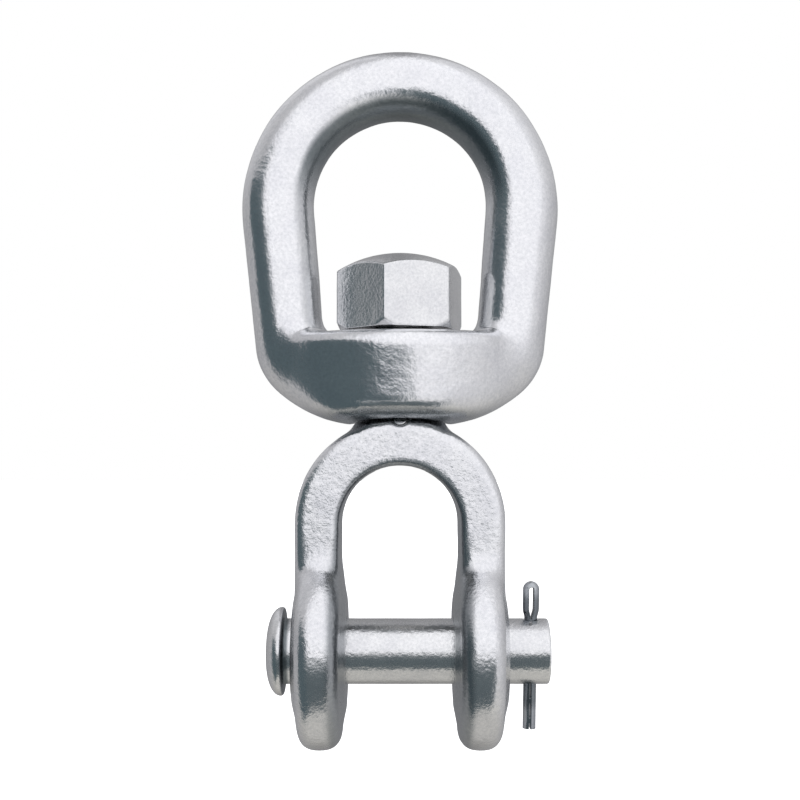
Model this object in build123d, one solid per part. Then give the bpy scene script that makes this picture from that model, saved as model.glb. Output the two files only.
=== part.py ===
from build123d import *
import math
import os

# Anchor swivel, jaw end: a forged bow and a forged jaw that turn on a hex-headed bolt.
# Millimetres.  Z is the swivel axis, X is the clevis pin's axis, and they cross at the origin.
# The pin's head is at -X, its cotter pin at +X.

# ---- Bow: closed eye above, thick bored base below ----
arch_centre_z = 110.3        # outside of the arch
arch_radius = 39.7
eye_centre_z = 111.3         # inside of the arch
eye_radius = 21.6
outer_taper = 6.2            # degrees, each leg's outside leans in towards the base
inner_taper = 4.4            # degrees, each leg's inside
bar_depth = 16.8             # front to back
bar_round = 7.4              # edge rounding of the bar
base_top_z = 78.5
base_bottom_z = 55.6
base_bottom_half = 19.8      # where the base's flat underside and its slanting sides would meet
base_slant = 38.0            # degrees
base_knee_radius = 33.0      # blend from underside to slant
base_side_radius = 17.0      # blend from slant to leg
base_front_radius = 42.3     # plan of the base: two arcs that meet in the legs
base_half_depth = 20.0
base_draft = 7.5             # degrees, front and back lean in towards the underside
base_belly_radius = 45.0     # front-to-back curve of the underside
base_top_round = 3.4
bar_cut_half = 24.0          # within this half width the base alone is the bow's lower side
base_bottom_round = 5.0
eye_corner_radius = 3.5

# ---- Thrust seat between bow and crown: a shallow ball ----
seat_centre_z = 40.4
seat_radius = 19.7
seat_gap = 0.3
crown_boss_radius = 11.5
crown_boss_depth = 17.2
crown_cut_radius = 14.5

# ---- Swivel bolt: hexagonal domed head, shank, end screwed into the crown ----
bolt_diameter = 15.9         # 5/8 in
bore_clearance = 0.4         # on the radius, forged and galvanised parts run loose
head_gap = 0.7               # under the head: most of the swivel's end play
head_flats = 28.4
head_corner_z = 93.8         # where the dome meets the corners
head_dome_z = 98.8
head_turn = 16.75            # degrees, how the hexagon happens to stand
head_seat_chamfer = 1.8      # height of the chamfer round the head's underside
head_seat_radius = 14.9
bolt_end_z = 46.5
bolt_end_chamfer = 1.2

# ---- Jaw: U with two disc ears ----
crown_centre_z = 31.9        # outside of the U
crown_radius = 25.7
throat_centre_z = 31.2       # inside of the U
throat_radius = 14.5
jaw_depth = 21.0
jaw_outer_round = 2.6
jaw_inner_round = 2.0
ear_blend = 4.0              # where the ears grow out of the legs
ear_radius = 23.9
ear_hub_radius = 13.5
ear_hub_inner = 13.0         # each ear's faces round the pin hole, from the middle plane
ear_hub_outer = 26.3
ear_rim_start = 18.6         # radius where the faces meet the rim
ear_rim_inner = 14.0
ear_rim_outer = 24.9
ear_rim_round = 4.25         # leaves a narrow flat round the rim
pin_hole_diameter = 16.5

# ---- Clevis pin: 5/8 in before galvanising, with a domed head ----
pin_diameter = 16.0
pin_head_diameter = 21.6
pin_head_inner_x = -28.5
pin_head_outer_x = -32.8
pin_head_rim_x = -29.3       # where the head's dome begins
pin_head_flat_radius = 3.5
pin_head_back_chamfer = 0.4
pin_end_x = 36.6
pin_end_chamfer = 0.25

# ---- Cotter pin: split pin of half-round wire ----
cotter_x = 32.2
cotter_hole = 4.0
cotter_tilt = 1.2            # degrees, how the split pin leans in its hole
wire_radius = 1.5            # of the half-round section
leg_flat = 0.12              # each leg's flat face, from the pin's middle
eye_flat = 0.55              # the same inside the eye
cotter_tip_z = -18.9
eye_start_z = 8.6
eye_flare = 1.6
eye_bend_radius = 2.5
cotter_top_z = 17.2

# ---- Lock pin: straight pin across crown and bolt ----
lock_pin_diameter = 3.4
lock_pin_z = 57.3
lock_pin_length = 20.6
lock_pin_chamfer = 0.3


def on_xz(sketch, depth):
    """Extrude a sketch drawn in X and Z by depth, centred on Y = 0."""
    return extrude(Plane.XZ * sketch, depth / 2, both=True)


def bow_outline():
    """The bow's outside: arch, tapering legs, slanting sides blended into a flat bottom."""
    tilt = math.radians(outer_taper)
    leg_x = arch_radius * math.cos(tilt)
    leg_z = arch_centre_z - arch_radius * math.sin(tilt)
    # the knee, where the leg's line and the slanting side's line would meet
    slant = math.tan(math.radians(base_slant))
    knee_z = (base_bottom_z + slant * (leg_x - leg_z * math.tan(tilt) - base_bottom_half)) / (
        1 - slant * math.tan(tilt)
    )
    knee_x = leg_x - (leg_z - knee_z) * math.tan(tilt)
    arch = ThreePointArc((leg_x, leg_z), (0, arch_centre_z + arch_radius), (-leg_x, leg_z))
    below = Polyline(
        (-leg_x, leg_z),
        (-knee_x, knee_z),
        (-base_bottom_half, base_bottom_z),
        (base_bottom_half, base_bottom_z),
        (knee_x, knee_z),
        (leg_x, leg_z),
    )
    outline = make_face(Curve() + [arch, below])
    corners = outline.vertices().sort_by(Axis.Y)
    outline = fillet(corners[:2], base_knee_radius)
    knees = outline.vertices().filter_by(lambda corner: abs(corner.Y - knee_z) < 0.01)
    return fillet(knees, base_side_radius)


def eye_outline():
    """The bow's opening: arch above, tapering sides, small corners on the base's top."""
    tilt = math.radians(inner_taper)
    side_x = eye_radius * math.cos(tilt)
    side_z = eye_centre_z - eye_radius * math.sin(tilt)
    foot_x = side_x - (side_z - base_top_z) * math.tan(tilt)
    lines = [
        ThreePointArc((side_x, side_z), (0, eye_centre_z + eye_radius), (-side_x, side_z)),
        Line((-side_x, side_z), (-foot_x, base_top_z)),
        Line((-foot_x, base_top_z), (foot_x, base_top_z)),
        Line((foot_x, base_top_z), (side_x, side_z)),
    ]
    opening = make_face(Curve() + lines)
    return fillet(opening.vertices().sort_by(Axis.Y)[:2], eye_corner_radius)


def bow_base():
    """The thick base: a drafted lens in plan, cut to the bow's outline, with a curved underside."""
    centre_y = base_front_radius - base_half_depth
    tip_x = math.sqrt(base_front_radius**2 - centre_y**2)
    front = ThreePointArc((-tip_x, 0), (0, -base_half_depth), (tip_x, 0))
    plan = make_face(Curve() + [front, mirror(front, Plane.XZ)])
    base = Pos(0, 0, base_top_z) * extrude(plan, base_bottom_z - base_top_z, taper=base_draft)
    base &= on_xz(bow_outline(), 3 * base_half_depth)
    base &= Pos(0, 0, base_bottom_z + base_belly_radius) * Rot(0, 90, 0) * Cylinder(
        base_belly_radius, 3 * arch_radius
    )
    sides = base.faces().sort_by(Axis.Y)
    underside = sides[0].edges() + sides[-1].edges()
    base = fillet(underside.filter_by(lambda edge: edge.center().Z < base_top_z - 1), base_bottom_round)
    top = base.faces().sort_by(Axis.Z)[-1].edges()
    return fillet(top, base_top_round)


def make_bow():
    """Arch and legs as one rounded bar, grown into the bored base."""
    ring = on_xz(bow_outline() - eye_outline(), bar_depth)
    ring = fillet(ring.faces().filter_by(Axis.Y).edges(), bar_round)
    top = (Align.CENTER, Align.CENTER, Align.MAX)
    ring -= Pos(0, 0, base_top_z) * Box(2 * bar_cut_half, bar_depth, base_top_z, align=top)
    bow = ring + bow_base()
    bow -= Pos(0, 0, base_top_z) * Cylinder(bolt_diameter / 2 + bore_clearance, 60)
    bow -= Pos(0, 0, seat_centre_z) * Sphere(seat_radius + seat_gap)
    return bow


def lock_pin_hole():
    """The cross hole through crown and bolt, drilled in both at once."""
    return Pos(0, 0, lock_pin_z) * Rot(90, 0, 0) * Cylinder(lock_pin_diameter / 2, 2 * jaw_depth)


def make_swivel_bolt():
    """Domed hexagonal head above the bow's base, shank down through it into the crown."""
    underside_z = base_top_z + head_gap
    corner_radius = head_flats / math.sqrt(3)
    rise = head_dome_z - head_corner_z
    dome_radius = (corner_radius**2 + rise**2) / (2 * rise)
    middle = corner_radius / 2
    middle_z = head_dome_z - dome_radius + math.sqrt(dome_radius**2 - middle**2)
    turned = [
        Line((0, underside_z), (head_seat_radius, underside_z)),
        Line((head_seat_radius, underside_z), (corner_radius, underside_z + head_seat_chamfer)),
        Line((corner_radius, underside_z + head_seat_chamfer), (corner_radius, head_corner_z)),
        ThreePointArc((corner_radius, head_corner_z), (middle, middle_z), (0, head_dome_z)),
        Line((0, head_dome_z), (0, underside_z)),
    ]
    head = revolve(Plane.XZ * make_face(Curve() + turned), Axis.Z)
    hexagon = Rot(0, 0, head_turn) * RegularPolygon(corner_radius, 6)
    head &= Pos(0, 0, underside_z) * extrude(hexagon, head_dome_z - underside_z)
    shank_length = underside_z - bolt_end_z
    shank = Pos(0, 0, bolt_end_z) * Cylinder(
        bolt_diameter / 2, shank_length, align=(Align.CENTER, Align.CENTER, Align.MIN)
    )
    shank = chamfer(shank.edges().sort_by(Axis.Z)[0], bolt_end_chamfer)
    return head + shank - lock_pin_hole()


def make_ear(side):
    """One disc ear: thickest round the pin hole, with a well rounded rim."""
    half_section = Polyline(
        (ear_hub_inner, 0),
        (ear_hub_inner, ear_hub_radius),
        (ear_rim_inner, ear_rim_start),
        (ear_rim_inner, ear_radius),
        (ear_rim_outer, ear_radius),
        (ear_rim_outer, ear_rim_start),
        (ear_hub_outer, ear_hub_radius),
        (ear_hub_outer, 0),
        close=True,
    )
    profile = make_face(half_section)
    profile = fillet(profile.vertices().sort_by(Axis.Y)[-2:], ear_rim_round)
    ear = revolve(profile, Axis.X)
    return ear if side > 0 else mirror(ear, Plane.YZ)


def u_edges(u_bar, middle_radius, outside):
    """The front and back edges of the U's outside, or of its inside, without those at its feet."""

    def is_wanted(edge):
        middle = edge.center()
        reach = max(abs(middle.X), middle.Z - crown_centre_z)
        return middle.Z > 1 and (reach > middle_radius) == outside

    return u_bar.faces().filter_by(Axis.Y).edges().filter_by(is_wanted)


def is_ear_seam(edge):
    """Whether an edge is where a leg runs into its ear's rim or outer face."""
    middle = edge.center()
    on_leg = throat_radius - 1 < abs(middle.X) < crown_radius + 0.1
    on_rim = ear_hub_radius < middle.Z < ear_radius
    crossing = edge.geom_type == GeomType.BSPLINE
    on_outer_face = edge.geom_type == GeomType.CIRCLE and abs(middle.X) > crown_radius - 0.1
    return on_leg and on_rim and (crossing or on_outer_face)


def jaw_blank():
    """The forged U with its ears and the crown's ball seat, before any hole."""
    foot = (Align.CENTER, Align.MIN)
    profile = Pos(0, crown_centre_z) * Circle(crown_radius)
    profile += Rectangle(2 * crown_radius, crown_centre_z, align=foot)
    profile -= Pos(0, throat_centre_z) * Circle(throat_radius)
    profile -= Rectangle(2 * throat_radius, throat_centre_z, align=foot)
    u_bar = on_xz(profile, jaw_depth)
    middle_radius = (crown_radius + throat_radius) / 2
    u_bar = fillet(u_edges(u_bar, middle_radius, True), jaw_outer_round)
    u_bar = fillet(u_edges(u_bar, middle_radius, False), jaw_inner_round)
    crown_z = crown_centre_z + middle_radius
    boss = Cylinder(crown_boss_radius, crown_radius, align=(Align.CENTER, Align.CENTER, Align.MIN))
    boss &= Box(4 * crown_boss_radius, crown_boss_depth, 4 * crown_radius)
    blank = u_bar + Pos(0, 0, crown_z) * boss
    above_seat = Cylinder(crown_cut_radius, crown_radius, align=(Align.CENTER, Align.CENTER, Align.MIN))
    above_seat = Pos(0, 0, crown_z) * above_seat - Pos(0, 0, seat_centre_z) * Sphere(seat_radius)
    blank -= above_seat
    for side in (-1, 1):
        blank += make_ear(side)
    return fillet(blank.edges().filter_by(is_ear_seam), ear_blend)


def make_jaw(blank):
    jaw = blank - Pos(0, 0, crown_centre_z + crown_radius) * Cylinder(bolt_diameter / 2, crown_radius)
    jaw -= Rot(0, 90, 0) * Cylinder(pin_hole_diameter / 2, 3 * ear_hub_outer)
    return jaw - lock_pin_hole()


def make_lock_pin(blank):
    """The straight pin, its ends dressed flush with the crown."""
    pin = Cylinder(lock_pin_diameter / 2, lock_pin_length)
    pin = chamfer(pin.edges().filter_by(GeomType.CIRCLE), lock_pin_chamfer)
    return Pos(0, 0, lock_pin_z) * Rot(90, 0, 0) * pin & blank


def cotter_frame():
    """Where the split pin's middle line crosses the clevis pin, leaning a little."""
    return Pos(cotter_x, 0, 0) * Rot(0, cotter_tilt, 0)


def make_clevis_pin():
    """Turned about X: domed head, shank and chamfered end, with the hole for the split pin."""
    head_radius = pin_head_diameter / 2
    radius = pin_diameter / 2
    turned = [
        Line((pin_end_x, 0), (pin_head_outer_x, 0)),
        Line((pin_head_outer_x, 0), (pin_head_outer_x, pin_head_flat_radius)),
        EllipticalCenterArc(
            (pin_head_rim_x, pin_head_flat_radius),
            pin_head_rim_x - pin_head_outer_x,
            head_radius - pin_head_flat_radius,
            90,
            arc_size=90,
        ),
        Polyline(
            (pin_head_rim_x, head_radius),
            (pin_head_inner_x - pin_head_back_chamfer, head_radius),
            (pin_head_inner_x, head_radius - pin_head_back_chamfer),
            (pin_head_inner_x, radius),
            (pin_end_x - pin_end_chamfer, radius),
            (pin_end_x, radius - pin_end_chamfer),
            (pin_end_x, 0),
        ),
    ]
    pin = revolve(make_face(Curve() + turned), Axis.X)
    return pin - cotter_frame() * Cylinder(cotter_hole / 2, 2 * pin_diameter)


def make_cotter_pin():
    """Half-round wire bent double: two legs side by side and a narrow eye at the top."""
    eye_top_z = cotter_top_z - wire_radius - eye_flat
    leg = FilletPolyline(
        (leg_flat, 0, cotter_tip_z),
        (leg_flat, 0, eye_start_z),
        (eye_flat, 0, eye_start_z + eye_flare),
        (eye_flat, 0, eye_top_z),
        radius=eye_bend_radius,
    )
    bend = ThreePointArc((eye_flat, 0, eye_top_z), (0, 0, eye_top_z + eye_flat), (-eye_flat, 0, eye_top_z))
    path = Wire((Curve() + [leg, bend, mirror(leg, Plane.YZ)]).edges())
    half_round = Circle(wire_radius) & Pos(wire_radius, 0) * Rectangle(2 * wire_radius, 2 * wire_radius)
    section = Pos(leg_flat, 0, cotter_tip_z) * half_round
    return cotter_frame() * sweep(section, path)


blank = jaw_blank()
parts = {
    "bow": make_bow(),
    "swivel_bolt": make_swivel_bolt(),
    "jaw": make_jaw(blank),
    "lock_pin": make_lock_pin(blank),
    "clevis_pin": make_clevis_pin(),
    "cotter_pin": make_cotter_pin(),
}
os.makedirs("parts", exist_ok=True)
for name, solid in parts.items():
    export_step(solid, f"parts/{name}.step")
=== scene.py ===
import math

import bpy
import numpy as np
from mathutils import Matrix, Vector, noise


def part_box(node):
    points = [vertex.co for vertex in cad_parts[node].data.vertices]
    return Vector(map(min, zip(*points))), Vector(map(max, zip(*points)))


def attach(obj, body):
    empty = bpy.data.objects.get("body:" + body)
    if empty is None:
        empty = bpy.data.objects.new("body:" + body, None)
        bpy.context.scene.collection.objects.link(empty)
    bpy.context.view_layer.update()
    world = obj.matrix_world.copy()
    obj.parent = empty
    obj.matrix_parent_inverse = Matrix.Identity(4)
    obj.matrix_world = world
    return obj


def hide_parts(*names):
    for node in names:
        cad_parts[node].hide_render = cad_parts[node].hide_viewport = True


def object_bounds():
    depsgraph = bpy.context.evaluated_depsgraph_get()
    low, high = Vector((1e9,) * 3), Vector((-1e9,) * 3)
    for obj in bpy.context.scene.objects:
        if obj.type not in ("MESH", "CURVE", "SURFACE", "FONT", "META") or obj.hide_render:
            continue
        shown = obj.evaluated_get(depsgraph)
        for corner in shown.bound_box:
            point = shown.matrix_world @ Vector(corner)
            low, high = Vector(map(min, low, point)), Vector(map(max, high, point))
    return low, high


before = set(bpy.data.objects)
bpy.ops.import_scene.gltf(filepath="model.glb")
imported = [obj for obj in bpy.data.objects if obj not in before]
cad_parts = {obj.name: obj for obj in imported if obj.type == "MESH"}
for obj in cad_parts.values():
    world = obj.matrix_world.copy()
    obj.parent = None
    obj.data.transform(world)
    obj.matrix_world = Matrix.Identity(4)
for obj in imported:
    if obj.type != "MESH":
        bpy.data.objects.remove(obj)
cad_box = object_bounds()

# Looks of the anchor swivel: every piece is a fine closed mesh of its CAD node's shape, softened,
# hammered and pitted as hot-dip galvanised forgings are, with a zinc material.  Metres.
MM = 0.001

SMOOTHING = 0.5     # share of the way to its neighbours' middle that a point moves in one smoothing step
REGROWTH = 0.53     # share that it moves back by, so that fairing doesn't shrink the shape
SEED_STEPS = (17.3, 5.1, 9.7)       # how far apart two seeds sample the noise, along x, y and z
NOISE_GAIN = 0.6


# ---------------------------------------------------------------- mesh work

def remeshed(node, name, voxel):
    """An even quad mesh of a CAD node's shape, as a new object."""
    piece = bpy.data.objects.new(name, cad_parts[node].data.copy())
    bpy.context.scene.collection.objects.link(piece)
    remesh = piece.modifiers.new("remesh", "REMESH")
    remesh.mode = "VOXEL"
    remesh.voxel_size = voxel
    remesh.use_smooth_shade = True
    evaluated = piece.evaluated_get(bpy.context.evaluated_depsgraph_get())
    mesh = bpy.data.meshes.new_from_object(evaluated)
    piece.modifiers.clear()
    piece.data = mesh
    mesh.name = name
    mesh.materials.clear()
    return piece


class Surface:
    """A mesh's points as arrays, with the few operations that shape a forging."""

    def __init__(self, mesh):
        self.mesh = mesh
        self.points = np.zeros(len(mesh.vertices) * 3)
        mesh.vertices.foreach_get("co", self.points)
        self.points = self.points.reshape(-1, 3)
        edges = np.zeros(len(mesh.edges) * 2, int)
        mesh.edges.foreach_get("vertices", edges)
        self.edges = edges.reshape(-1, 2)
        mesh.calc_loop_triangles()
        triangles = np.zeros(len(mesh.loop_triangles) * 3, int)
        mesh.loop_triangles.foreach_get("vertices", triangles)
        self.triangles = triangles.reshape(-1, 3)
        self.neighbours = np.bincount(self.edges.ravel(), minlength=len(self.points))[:, None]

    def gather(self, rows, values):
        """The sum, for each point, of the vectors whose row number is that point's."""
        size = len(self.points)
        return np.stack([np.bincount(rows, values[:, k], size) for k in range(3)], axis=1)

    def pull(self):
        """From each point to the middle of its neighbours."""
        first, second = self.edges.T
        total = self.gather(first, self.points[second]) + self.gather(second, self.points[first])
        return total / self.neighbours - self.points

    def normals(self):
        """Each point's outward unit normal."""
        a, b, c = (self.points[self.triangles[:, k]] for k in range(3))
        across = np.cross(b - a, c - a)
        total = sum(self.gather(self.triangles[:, k], across) for k in range(3))
        return total / np.linalg.norm(total, axis=1, keepdims=True)

    def smooth(self, steps, share=1.0):
        """Even out the points; share is how much, one number or one for each point."""
        for _ in range(steps):
            self.points += SMOOTHING * share * self.pull()

    def fair(self, steps):
        """Take out small facets without shrinking the shape."""
        for _ in range(steps):
            self.points += SMOOTHING * self.pull()
            self.points -= REGROWTH * self.pull()

    def fill(self, steps, share):
        """Fill hollow creases with a blend, leaving everything that bulges as it is."""
        for _ in range(steps):
            normals = self.normals()
            rise = np.maximum((self.pull() * normals).sum(axis=1, keepdims=True), 0)
            self.points += share * rise * normals

    def carve(self, depth):
        """Move each point inwards by its own depth."""
        self.points -= depth[:, None] * self.normals()

    def store(self):
        """Write the points back to the mesh."""
        self.mesh.vertices.foreach_set("co", self.points.ravel())
        self.mesh.update()

    def facing_opening(self, height):
        """How far each point faces a U's opening, whose arch has its centre at that height."""
        toward = np.stack([
            -self.points[:, 0],
            np.zeros(len(self.points)),
            np.minimum(height - self.points[:, 2], 0),
        ], axis=1)
        return (self.normals() * toward).sum(axis=1) / np.linalg.norm(toward, axis=1)

    def paint_shade_and_dullness(self, amount):
        """Keep, from 0 to 1, how much painted shade each point gets: there the zinc's colour is darkened,
        and it is made a little rougher.
        """
        layer = self.mesh.attributes.new("painted_shade_and_dullness", "FLOAT", "POINT")
        layer.data.foreach_set("value", np.ascontiguousarray(amount, dtype=np.float32))


def waves(points, size, seed):
    """Smooth noise from 0 to 1 over the points, with lumps of about that size."""
    offset = Vector([seed * step for step in SEED_STEPS])
    values = [noise.noise(Vector(p) / size + offset) for p in points]
    return np.clip(0.5 + NOISE_GAIN * np.array(values), 0, 1)


def ramp(values, start, end):
    """0 before start, 1 after end and smooth between; start may be the larger."""
    t = np.clip((values - start) / (end - start), 0, 1)
    return t * t * (3 - 2 * t)


def rising(heights, level, reach):
    """A ramp over heights, with its start and end given from a level."""
    start, end = reach
    return ramp(heights, level + start, level + end)


def hammered(surface, depths, seed):
    """Carve waves of several sizes, given as {size: depth}, as forging and zinc leave them."""
    depth = sum(
        amount * waves(surface.points, size, seed + k)
        for k, (size, amount) in enumerate(depths.items())
    )
    surface.carve(depth)


# The trimmed flash line, a low band round each forging where its two dies met.
FLASH_HEIGHT = 0.08 * MM
FLASH_HALF_WIDTH = 1.5 * MM
FLASH_FADE = 0.7 * MM


def parting_band(surface):
    """1 on the flash line, on the faces that look sideways."""
    facing = np.abs(surface.normals()[:, 1])
    near = ramp(np.abs(surface.points[:, 1]), FLASH_HALF_WIDTH + FLASH_FADE, FLASH_HALF_WIDTH)
    return near * ramp(facing, 0.45, 0.25)


# ---------------------------------------------------------------- pieces

# Voxel sizes, fine enough for each piece's smallest round.
BOW_VOXEL = 0.56 * MM
JAW_VOXEL = 0.44 * MM
BOLT_VOXEL = 0.27 * MM
PIN_VOXEL = 0.27 * MM
LOCK_PIN_VOXEL = 0.15 * MM
WIRE_VOXEL = 0.10 * MM

# Where the bow is blended and given painted shade (darker, duller zinc): the distances, from none to full,
# over which each comes in.  Heights run from the top of the base, or from the centre of the eye's arch.
BASE_UNDER_BOLT = 20.3 * MM         # the base's top, below the top of the bolt's head
ARCH_OVER_BASE = 32.8 * MM          # the arch's centre, above the base's top
BESIDE_BORE = (15.5 * MM, 19 * MM)  # away from the swivel's axis
FOOT_HEIGHT = (12 * MM, 5 * MM)     # foot: the eye's lower corners
SHOULDER_OUT = (21 * MM, 26 * MM)   # shoulder: where a leg's outside meets the base
SHOULDER_HEIGHT = (2 * MM, -4 * MM)
SHOULDER_DEPTH = (2 * MM, 6 * MM)
HEEL_OUT = (6 * MM, 22 * MM)        # heel: the base's rounded underside
HEEL_HEIGHT = (-6 * MM, -12 * MM)
HEEL_DEPTH = (3 * MM, 8 * MM)
UNDER_ARCH = (-2 * MM, 12 * MM)
OVER_JAW = (26 * MM, 16 * MM)       # away from the swivel's axis

# The same for the jaw, with heights from the clevis pin's axis.
THROAT_HEIGHT = 31.2 * MM           # the centre of the throat's arch
SEAM_START = (12 * MM, 17 * MM)     # seam: where a leg grows into its ear
SEAM_END = (30 * MM, 25 * MM)
SEAM_DEPTH = (3 * MM, 6 * MM)
TIP_OUT = (18 * MM, 22 * MM)        # tip: the ear's lower rim, away from the clevis pin's axis
TIP_HEIGHT = (6 * MM, -6 * MM)
CROWN_OUT = (8 * MM, 10 * MM)       # crown: the foot of the boss under the bow
CROWN_HEIGHT = (50 * MM, 52 * MM)

# The gap behind the clevis pin's head, along the pin, and the cotter pin's lean in degrees.
GAP_START = (-26.9 * MM, -27.7 * MM)
GAP_END = (-28.9 * MM, -28.5 * MM)
COTTER_LEAN = 1.2
BY_HOLE = (15 * MM, 12 * MM)        # away from the clevis pin's axis


def make_bow():
    """The bow's CAD shape with its legs run softly into the base, and painted shade inside its eye and on
    its underside over the jaw.
    """
    piece = remeshed("bow", "bow_forged", BOW_VOXEL)
    surface = Surface(piece.data)
    surface.fair(5)
    x, y, z = np.abs(surface.points[:, 0]), np.abs(surface.points[:, 1]), surface.points[:, 2]
    base_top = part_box("swivel_bolt")[1].z - BASE_UNDER_BOLT
    beside_bore = ramp(np.hypot(x, y), *BESIDE_BORE)
    foot = beside_bore * rising(z, base_top, FOOT_HEIGHT)
    surface.fill(60, 0.7 * foot[:, None])
    shoulder = ramp(x, *SHOULDER_OUT) * rising(z, base_top, SHOULDER_HEIGHT)
    surface.fill(60, 0.7 * shoulder[:, None])
    surface.smooth(110, (shoulder * ramp(y, *SHOULDER_DEPTH))[:, None])
    heel = ramp(x, *HEEL_OUT) * rising(z, base_top, HEEL_HEIGHT) * ramp(y, *HEEL_DEPTH)
    surface.smooth(150, heel[:, None])
    surface.smooth(2)
    flash = parting_band(surface) * beside_bore
    hammered(surface, {16 * MM: 0.16 * MM, 6 * MM: 0.08 * MM, 2.4 * MM: 0.035 * MM}, seed=1)
    surface.carve(FLASH_HEIGHT * (1 - flash))
    # Painted shade: darker, rougher zinc on the faces that look into the eye, most under the arch, and on
    # the downward faces over the jaw.
    arch_centre = base_top + ARCH_OVER_BASE
    under_arch = rising(surface.points[:, 2], arch_centre, UNDER_ARCH)
    in_eye = ramp(surface.facing_opening(arch_centre), 0.36, 0.6) * (0.2 + 0.8 * under_arch)
    radius = np.hypot(surface.points[:, 0], surface.points[:, 1])
    over_jaw = 0.65 * ramp(surface.normals()[:, 2], -0.4, -0.8) * ramp(radius, *OVER_JAW)
    surface.paint_shade_and_dullness(np.maximum(in_eye, over_jaw))
    surface.store()
    return piece


def make_jaw():
    """The jaw's CAD shape with its legs run softly into the ears, and painted shade on the faces that look
    into its throat.
    """
    piece = remeshed("jaw", "jaw_forged", JAW_VOXEL)
    surface = Surface(piece.data)
    surface.fair(5)
    y, z = np.abs(surface.points[:, 1]), surface.points[:, 2]
    seam = ramp(z, *SEAM_START) * ramp(z, *SEAM_END) * ramp(y, *SEAM_DEPTH)
    surface.fill(60, 0.7 * seam[:, None])
    surface.smooth(36, seam[:, None])
    tip = ramp(np.hypot(y, z), *TIP_OUT) * ramp(z, *TIP_HEIGHT)
    surface.smooth(36, tip[:, None])
    x = np.abs(surface.points[:, 0])
    crown = ramp(x, *CROWN_OUT) * ramp(z, *CROWN_HEIGHT)
    surface.fill(70, 0.8 * crown[:, None])
    surface.smooth(16, crown[:, None])
    surface.smooth(2)
    flash = parting_band(surface)
    hammered(surface, {14 * MM: 0.10 * MM, 5 * MM: 0.05 * MM, 2.2 * MM: 0.02 * MM}, seed=5)
    surface.carve(FLASH_HEIGHT * (1 - flash))
    # Painted shade: darker, rougher zinc on the faces that look into the throat.
    surface.paint_shade_and_dullness(0.6 * ramp(surface.facing_opening(THROAT_HEIGHT), 0.1, 0.6))
    surface.store()
    return piece


def make_plain(node, name, voxel, soften, depths, seed):
    """A turned or drawn piece: its CAD shape with soft zinc-coated edges."""
    piece = remeshed(node, name, voxel)
    surface = Surface(piece.data)
    surface.fair(4)
    surface.smooth(soften)
    hammered(surface, depths, seed)
    surface.store()
    return piece


def make_clevis_pin():
    """The clevis pin, with painted shade (darker, rougher zinc) in the narrow gap behind its head."""
    piece = make_plain(
        "clevis_pin", "clevis_pin_zinced", PIN_VOXEL, 1, {9 * MM: 0.04 * MM, 2 * MM: 0.02 * MM}, 17
    )
    surface = Surface(piece.data)
    x = surface.points[:, 0]
    surface.paint_shade_and_dullness(ramp(x, *GAP_START) * ramp(x, *GAP_END))
    return piece


def make_cotter_pin():
    """The split pin, with painted shade (darker, rougher zinc) between its two legs, inside its eye and next
    to its hole.
    """
    piece = make_plain("cotter_pin", "cotter_pin_zinced", WIRE_VOXEL, 1, {3 * MM: 0.02 * MM}, 19)
    surface = Surface(piece.data)
    low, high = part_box("cotter_pin")
    centre = (low + high) / 2
    slope = math.tan(math.radians(COTTER_LEAN))
    middle = centre.x + (surface.points[:, 2] - centre.z) * slope
    inwards = np.sign(middle - surface.points[:, 0]) * surface.normals()[:, 0]
    by_hole = 0.6 * ramp(np.abs(surface.points[:, 2]), *BY_HOLE)
    surface.paint_shade_and_dullness(np.maximum(ramp(inwards, 0.2, 0.7), by_hole))
    return piece


# ---------------------------------------------------------------- zinc

def add(tree, kind, **values):
    """A new node; each value is a property, or an input's number or the socket that feeds it."""
    node = tree.nodes.new(kind)
    for key, value in values.items():
        if key.startswith("in_"):
            continue
        setattr(node, key, value)
    for key, value in values.items():
        if not key.startswith("in_"):
            continue
        label = key[3:]
        socket = node.inputs[int(label)] if label.isdigit() else node.inputs[label.replace("_", " ")]
        if isinstance(value, bpy.types.NodeSocket):
            tree.links.new(value, socket)
        else:
            socket.default_value = value
    return node


def grain(tree, place, size, detail, roughness=0.5):
    """Noise with grains of a size in metres."""
    return add(
        tree, "ShaderNodeTexNoise",
        in_Vector=place, in_Scale=1 / size, in_Detail=detail, in_Roughness=roughness,
    ).outputs["Fac"]


def spread(tree, value, low, high, to_low, to_high):
    """Map a value's range onto another, clamped."""
    return add(
        tree, "ShaderNodeMapRange",
        in_Value=value, in_From_Min=low, in_From_Max=high, in_To_Min=to_low, in_To_Max=to_high,
    ).outputs["Result"]


def tint(tree, value, stops):
    """Colour ramp through {position: colour}."""
    node = add(tree, "ShaderNodeValToRGB", in_Fac=value)
    elements = node.color_ramp.elements
    while len(elements) < len(stops):
        elements.new(0.5)
    for element, (position, colour) in zip(elements, sorted(stops.items())):
        element.position = position
        element.color = (*colour, 1)
    return node.outputs["Color"]


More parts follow.
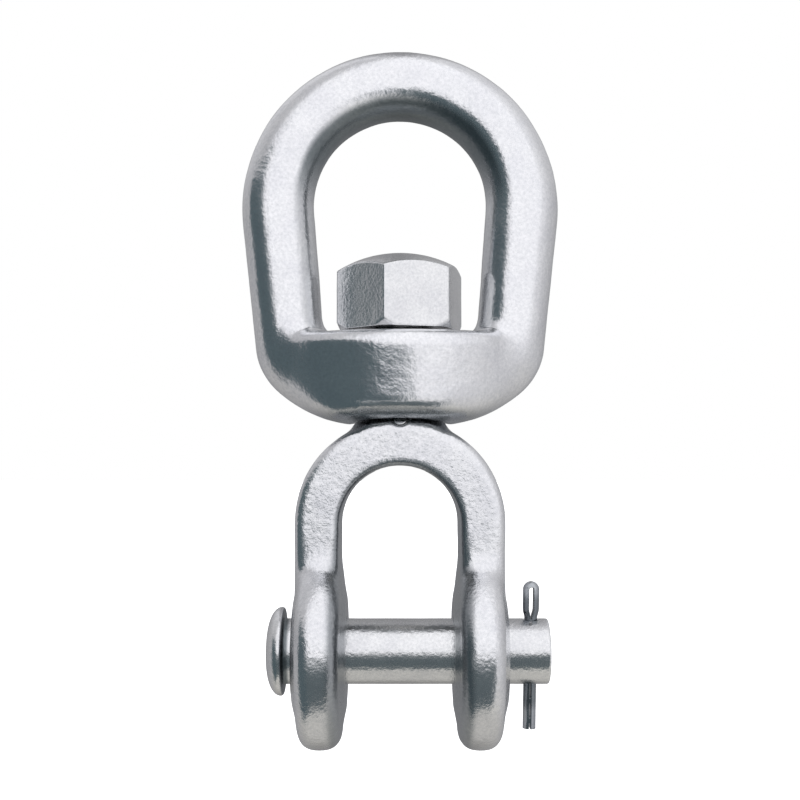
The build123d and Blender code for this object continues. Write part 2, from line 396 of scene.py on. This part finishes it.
def zinc(name, pale, dull, shine, pebble, depth, dent_depth):
    """Hot-dip zinc: clouded tone and shine, a skin of fine pebbles over shallow dents, and painted shade
    that darkens the colour where the mesh's stored shade attribute is high.
    """
    material = bpy.data.materials.new(name)
    material.use_nodes = True
    tree = material.node_tree
    shader = tree.nodes["Principled BSDF"]
    shader.inputs["Metallic"].default_value = 1.0
    place = tree.nodes.new("ShaderNodeTexCoord").outputs["Object"]
    cloud = grain(tree, place, 8 * MM, 3)
    pebbles = grain(tree, place, pebble, 2, 0.55)
    mottle = grain(tree, place, 0.8 * pebble, 3, 0.6)
    painted_shade_and_dullness = add(tree, "ShaderNodeAttribute", attribute_name="painted_shade_and_dullness").outputs["Fac"]
    colour = tint(tree, cloud, {0.35: dull, 0.6: pale})
    patch = spread(tree, mottle, 0.3, 0.7, 0.0, 1.0)
    shade = tint(tree, patch, {0.0: (0.84, 0.85, 0.86), 1.0: (1.0, 1.0, 1.0)})
    # Painted shade: the stored attribute darkens the colour towards near black where shade falls, in the
    # eye, the throat, the gaps and by the hole.
    painted_shade_tint = tint(tree, painted_shade_and_dullness, {0.0: (1.0, 1.0, 1.0), 0.5: (0.56, 0.58, 0.59), 1.0: (0.27, 0.30, 0.31)})
    mottled = add(
        tree, "ShaderNodeMix", data_type="RGBA", blend_type="MULTIPLY", in_0=1.0, in_6=colour, in_7=shade
    ).outputs[2]
    zinced = add(
        tree, "ShaderNodeMix", data_type="RGBA", blend_type="MULTIPLY", in_0=1.0, in_6=mottled, in_7=painted_shade_tint
    ).outputs[2]
    tree.links.new(zinced, shader.inputs["Base Color"])
    satin = spread(tree, patch, 0, 1, shine + 0.06, shine - 0.03)
    veiled = spread(tree, painted_shade_and_dullness, 0, 1, 0, 0.12)
    rough = add(tree, "ShaderNodeMath", operation="ADD", in_0=satin, in_1=veiled).outputs[0]
    tree.links.new(rough, shader.inputs["Roughness"])
    dents = grain(tree, place, 2.6 * MM, 1)
    coarse = add(tree, "ShaderNodeBump", in_Strength=1.0, in_Distance=dent_depth, in_Height=dents)
    skin = add(
        tree, "ShaderNodeBump", in_Strength=1.0, in_Distance=depth, in_Height=pebbles,
        in_Normal=coarse.outputs["Normal"],
    )
    tree.links.new(skin.outputs["Normal"], shader.inputs["Normal"])
    return material


# ---------------------------------------------------------------- studio

# The light tent's brightness round the swivel, as {elevation: {azimuth: brightness}}.  Azimuth 0 is the
# camera's side and 90 is +X; between two elevations the brightness is blended.
TENT = {
    -72: {-180: 0.56, 180: 0.56},
    -55: {
        -180: 0.30, -160: 0.40, -110: 0.50, -90: 0.50, 10: 0.72,
        30: 0.72, 60: 0.66, 110: 0.56, 150: 0.50, 180: 0.30,
    },
    -14: {
        -180: 0.24, -155: 0.34, -95: 0.44, -80: 0.46, 10: 0.92,
        28: 0.90, 45: 0.74, 110: 0.54, 145: 0.38, 180: 0.28,
    },
    -4: {
        -180: 0.24, -155: 0.34, -95: 0.44, -30: 0.56, -12: 1.02,
        35: 1.04, 55: 0.78, 90: 0.58, 140: 0.42, 180: 0.30,
    },
    10: {
        -180: 0.26, -155: 0.42, -95: 0.44, -30: 0.66, -12: 1.08,
        40: 1.03, 60: 0.82, 90: 0.62, 140: 0.44, 180: 0.30,
    },
    30: {
        -180: 0.26, -150: 0.66, -95: 0.54, -60: 0.48, -24: 1.06,
        38: 1.07, 60: 0.84, 100: 0.62, 150: 0.60, 180: 0.28,
    },
    62: {
        -180: 0.26, -150: 0.82, -95: 0.56, -55: 0.62, -20: 1.06,
        40: 1.10, 75: 0.90, 110: 0.74, 150: 0.74, 180: 0.28,
    },
}
LILAC = (1.0, 1.0, 1.03)
WARM = (1.0, 0.98, 0.93)

# The dark panel left of the camera covers these angles, in degrees; its upper edge slopes up to the left.
# A lower strip of it reaches further right.  The edges fade over twice SIDE_EDGE or TOP_EDGE.
PANEL_COLOUR = (0.085, 0.115, 0.128)
PANEL_LEFT = -89
PANEL_RIGHT = -21
PANEL_BOTTOM = -62
PANEL_TOP = -8.5
PANEL_SLOPE = 1.25
PANEL_SLOPE_START = -12
PANEL_TOP_LEFT = 24
STRIP_RIGHT = 5
STRIP_BOTTOM = -42
SIDE_EDGE = 6
TOP_EDGE = 2.5

# The dark card low in front of the jaw, seen only in the zinc.  Its top and its right side fade out.
CARD_Y = -100 * MM
CARD_X = (-75 * MM, 105 * MM)
CARD_Z = (-150 * MM, 2 * MM)
CARD_FADE = 20 * MM


def studio_world():
    """The tent and the panel as light, and plain white paper where the camera sees past the swivel."""
    world = bpy.data.worlds.new("studio")
    bpy.context.scene.world = world
    world.use_nodes = True
    tree = world.node_tree
    tree.nodes.clear()
    toward = tree.nodes.new("ShaderNodeTexCoord").outputs["Generated"]
    axes = add(tree, "ShaderNodeSeparateXYZ", in_Vector=toward)

    def maths(operation, *values):
        node = tree.nodes.new("ShaderNodeMath")
        node.operation = operation
        for socket, value in zip(node.inputs, values):
            if isinstance(value, bpy.types.NodeSocket):
                tree.links.new(value, socket)
            else:
                socket.default_value = value
        return node.outputs[0]

    back = maths("MULTIPLY", axes.outputs["Y"], -1.0)
    turn = maths("MULTIPLY", maths("ARCTAN2", axes.outputs["X"], back), math.degrees(1))
    rise = maths("MULTIPLY", maths("ARCSINE", axes.outputs["Z"]), math.degrees(1))

    def step(value, edge, softness):
        """0 well under the edge, 1 well over it."""
        return spread(tree, maths("SUBTRACT", value, edge), -softness, softness, 0, 1)

    share = spread(tree, turn, -180, 180, 0, 1)
    light = None
    for elevation, ring in sorted(TENT.items()):
        hue = WARM if elevation < -30 else LILAC
        stops = {0.5 + azimuth / 360: [c * brightness for c in hue] for azimuth, brightness in ring.items()}
        around = tint(tree, share, stops)
        if light is None:
            light = around
        else:
            up = spread(tree, rise, below, elevation, 0, 1)
            light = add(tree, "ShaderNodeMix", data_type="RGBA", in_0=up, in_6=light, in_7=around).outputs[2]
        below = elevation
    run = maths("MULTIPLY", maths("SUBTRACT", turn, PANEL_SLOPE_START), -PANEL_SLOPE)
    slope = maths("MINIMUM", maths("MAXIMUM", run, 0.0), PANEL_TOP_LEFT - PANEL_TOP)
    below_top = maths("SUBTRACT", 1.0, step(rise, maths("ADD", slope, PANEL_TOP), TOP_EDGE))
    left_of = {
        edge: maths("SUBTRACT", 1.0, step(turn, edge, SIDE_EDGE)) for edge in (PANEL_RIGHT, STRIP_RIGHT)
    }
    tall = maths("MULTIPLY", step(rise, PANEL_BOTTOM, TOP_EDGE), left_of[PANEL_RIGHT])
    low = maths("MULTIPLY", step(rise, STRIP_BOTTOM, TOP_EDGE), left_of[STRIP_RIGHT])
    beyond_left = step(turn, PANEL_LEFT, TOP_EDGE)
    panel = maths("MULTIPLY", maths("MULTIPLY", maths("MAXIMUM", tall, low), below_top), beyond_left)
    studio = add(
        tree, "ShaderNodeMix", data_type="RGBA", in_0=panel, in_6=light, in_7=(*PANEL_COLOUR, 1)
    ).outputs[2]
    lit = add(tree, "ShaderNodeBackground", in_Color=studio, in_Strength=1.0)
    paper = add(tree, "ShaderNodeBackground", in_Color=(1, 1, 1, 1), in_Strength=1.0)
    seen = tree.nodes.new("ShaderNodeLightPath").outputs["Is Camera Ray"]
    mixed = add(tree, "ShaderNodeMixShader", in_0=seen, in_1=lit.outputs[0], in_2=paper.outputs[0])
    add(tree, "ShaderNodeOutputWorld", in_Surface=mixed.outputs[0])


def dark_card():
    """An upright card with soft edges that darkens the lower part of what the jaw and its pin reflect."""
    mesh = bpy.data.meshes.new("card")
    (left, right), (bottom, top) = CARD_X, CARD_Z
    corners = [(left, CARD_Y, bottom), (right, CARD_Y, bottom), (right, CARD_Y, top), (left, CARD_Y, top)]
    mesh.from_pydata(corners, [], [(0, 1, 2, 3)])
    card = bpy.data.objects.new("card", mesh)
    bpy.context.scene.collection.objects.link(card)
    card.visible_camera = False
    card.visible_diffuse = False
    material = bpy.data.materials.new("card")
    material.use_nodes = True
    tree = material.node_tree
    shader = tree.nodes["Principled BSDF"]
    shader.inputs["Base Color"].default_value = (0, 0, 0, 1)
    shader.inputs["Roughness"].default_value = 1.0
    shader.inputs["Emission Strength"].default_value = 1.0
    place = tree.nodes.new("ShaderNodeTexCoord").outputs["Object"]
    axes = add(tree, "ShaderNodeSeparateXYZ", in_Vector=place)
    up = spread(tree, axes.outputs["Z"], top - CARD_FADE, top, 0, 1)
    out = spread(tree, axes.outputs["X"], right - 2 * CARD_FADE, right, 0, 1)
    edge = add(tree, "ShaderNodeMath", operation="MAXIMUM", in_0=up, in_1=out).outputs[0]
    glow = tint(tree, edge, {0.0: (0.10, 0.125, 0.135), 0.45: (0.20, 0.22, 0.23), 1.0: (0.76, 0.76, 0.77)})
    tree.links.new(glow, shader.inputs["Emission Color"])
    mesh.materials.append(material)


FLOOR_GAP = 15 * MM
CAMERA_DISTANCE = 293 * MM
CAMERA_TILT = 2.8       # degrees, looking up
CAMERA_LENS = 52.74
CAMERA_DROP = 0.9 * MM  # its target, below the middle of the swivel


def paper_floor(lowest):
    """A pale paper floor a little below the hanging swivel, kept out of its reflections."""
    mesh = bpy.data.meshes.new("floor")
    half = 4.0          # metres, so that its edge is out of sight
    corners = [(-half, -half, 0), (half, -half, 0), (half, half, 0), (-half, half, 0)]
    mesh.from_pydata(corners, [], [(0, 1, 2, 3)])
    floor = bpy.data.objects.new("floor", mesh)
    floor.location.z = lowest - FLOOR_GAP
    bpy.context.scene.collection.objects.link(floor)
    floor.visible_glossy = False
    material = bpy.data.materials.new("paper")
    material.use_nodes = True
    shader = material.node_tree.nodes["Principled BSDF"]
    shader.inputs["Base Color"].default_value = (0.9, 0.9, 0.9, 1)
    shader.inputs["Roughness"].default_value = 0.9
    shader.inputs["Emission Color"].default_value = (1, 1, 1, 1)
    shader.inputs["Emission Strength"].default_value = 1.0
    mesh.materials.append(material)


def camera(centre):
    """In front of the swivel and a little below its middle, looking slightly up."""
    tilt = math.radians(CAMERA_TILT)
    target = Vector((0, 0, centre.z - CAMERA_DROP))
    back = Vector((0, -math.cos(tilt), -math.sin(tilt)))
    data = bpy.data.cameras.new("camera")
    data.lens = CAMERA_LENS
    data.sensor_width = 36
    data.clip_start = 0.01
    seat = bpy.data.objects.new("camera", data)
    seat.location = target + back * CAMERA_DISTANCE
    seat.rotation_euler = (-back).to_track_quat("-Z", "Y").to_euler()
    bpy.context.scene.collection.objects.link(seat)
    bpy.context.scene.camera = seat


# ---------------------------------------------------------------- assembly

lowest, highest = cad_box
camera((lowest + highest) / 2)
studio_world()
dark_card()
paper_floor(lowest.z)
bpy.context.scene.view_settings.view_transform = "Standard"

smooth_zinc = zinc(
    "smooth_zinc", pale=(0.91, 0.91, 0.92), dull=(0.86, 0.86, 0.88), shine=0.19,
    pebble=1.0 * MM, depth=0.065 * MM, dent_depth=0.04 * MM,
)
forged_zinc = zinc(
    "forged_zinc", pale=(0.89, 0.89, 0.90), dull=(0.83, 0.83, 0.85), shine=0.22,
    pebble=0.9 * MM, depth=0.10 * MM, dent_depth=0.05 * MM,
)
machined_zinc = zinc(
    "machined_zinc", pale=(0.89, 0.89, 0.89), dull=(0.82, 0.82, 0.83), shine=0.22,
    pebble=0.8 * MM, depth=0.075 * MM, dent_depth=0.02 * MM,
)
wire_zinc = zinc(
    "wire_zinc", pale=(0.50, 0.52, 0.54), dull=(0.38, 0.40, 0.43), shine=0.15,
    pebble=0.6 * MM, depth=0.01 * MM, dent_depth=0.006 * MM,
)

finished = {
    "bow": (make_bow(), "bow", smooth_zinc, "forged_galvanised"),
    "jaw": (make_jaw(), "jaw", forged_zinc, "forged_galvanised"),
    "swivel_bolt": (
        make_plain(
            "swivel_bolt", "swivel_bolt_zinced", BOLT_VOXEL, 2, {5 * MM: 0.05 * MM, 1.8 * MM: 0.02 * MM}, 11
        ),
        "jaw", machined_zinc, "bolt_galvanised",
    ),
    "lock_pin": (
        make_plain("lock_pin", "lock_pin_zinced", LOCK_PIN_VOXEL, 3, {1.5 * MM: 0.02 * MM}, 13),
        "jaw", machined_zinc, "bolt_galvanised",
    ),
    "clevis_pin": (make_clevis_pin(), "clevis_pin", machined_zinc, "pin_galvanised"),
    "cotter_pin": (make_cotter_pin(), "cotter_pin", wire_zinc, "wire_galvanised"),
}
for node, (piece, body, material, slot) in finished.items():
    piece.data.materials.append(material)
    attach(piece, body)
    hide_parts(node)
    print(node, len(piece.data.vertices), "points")
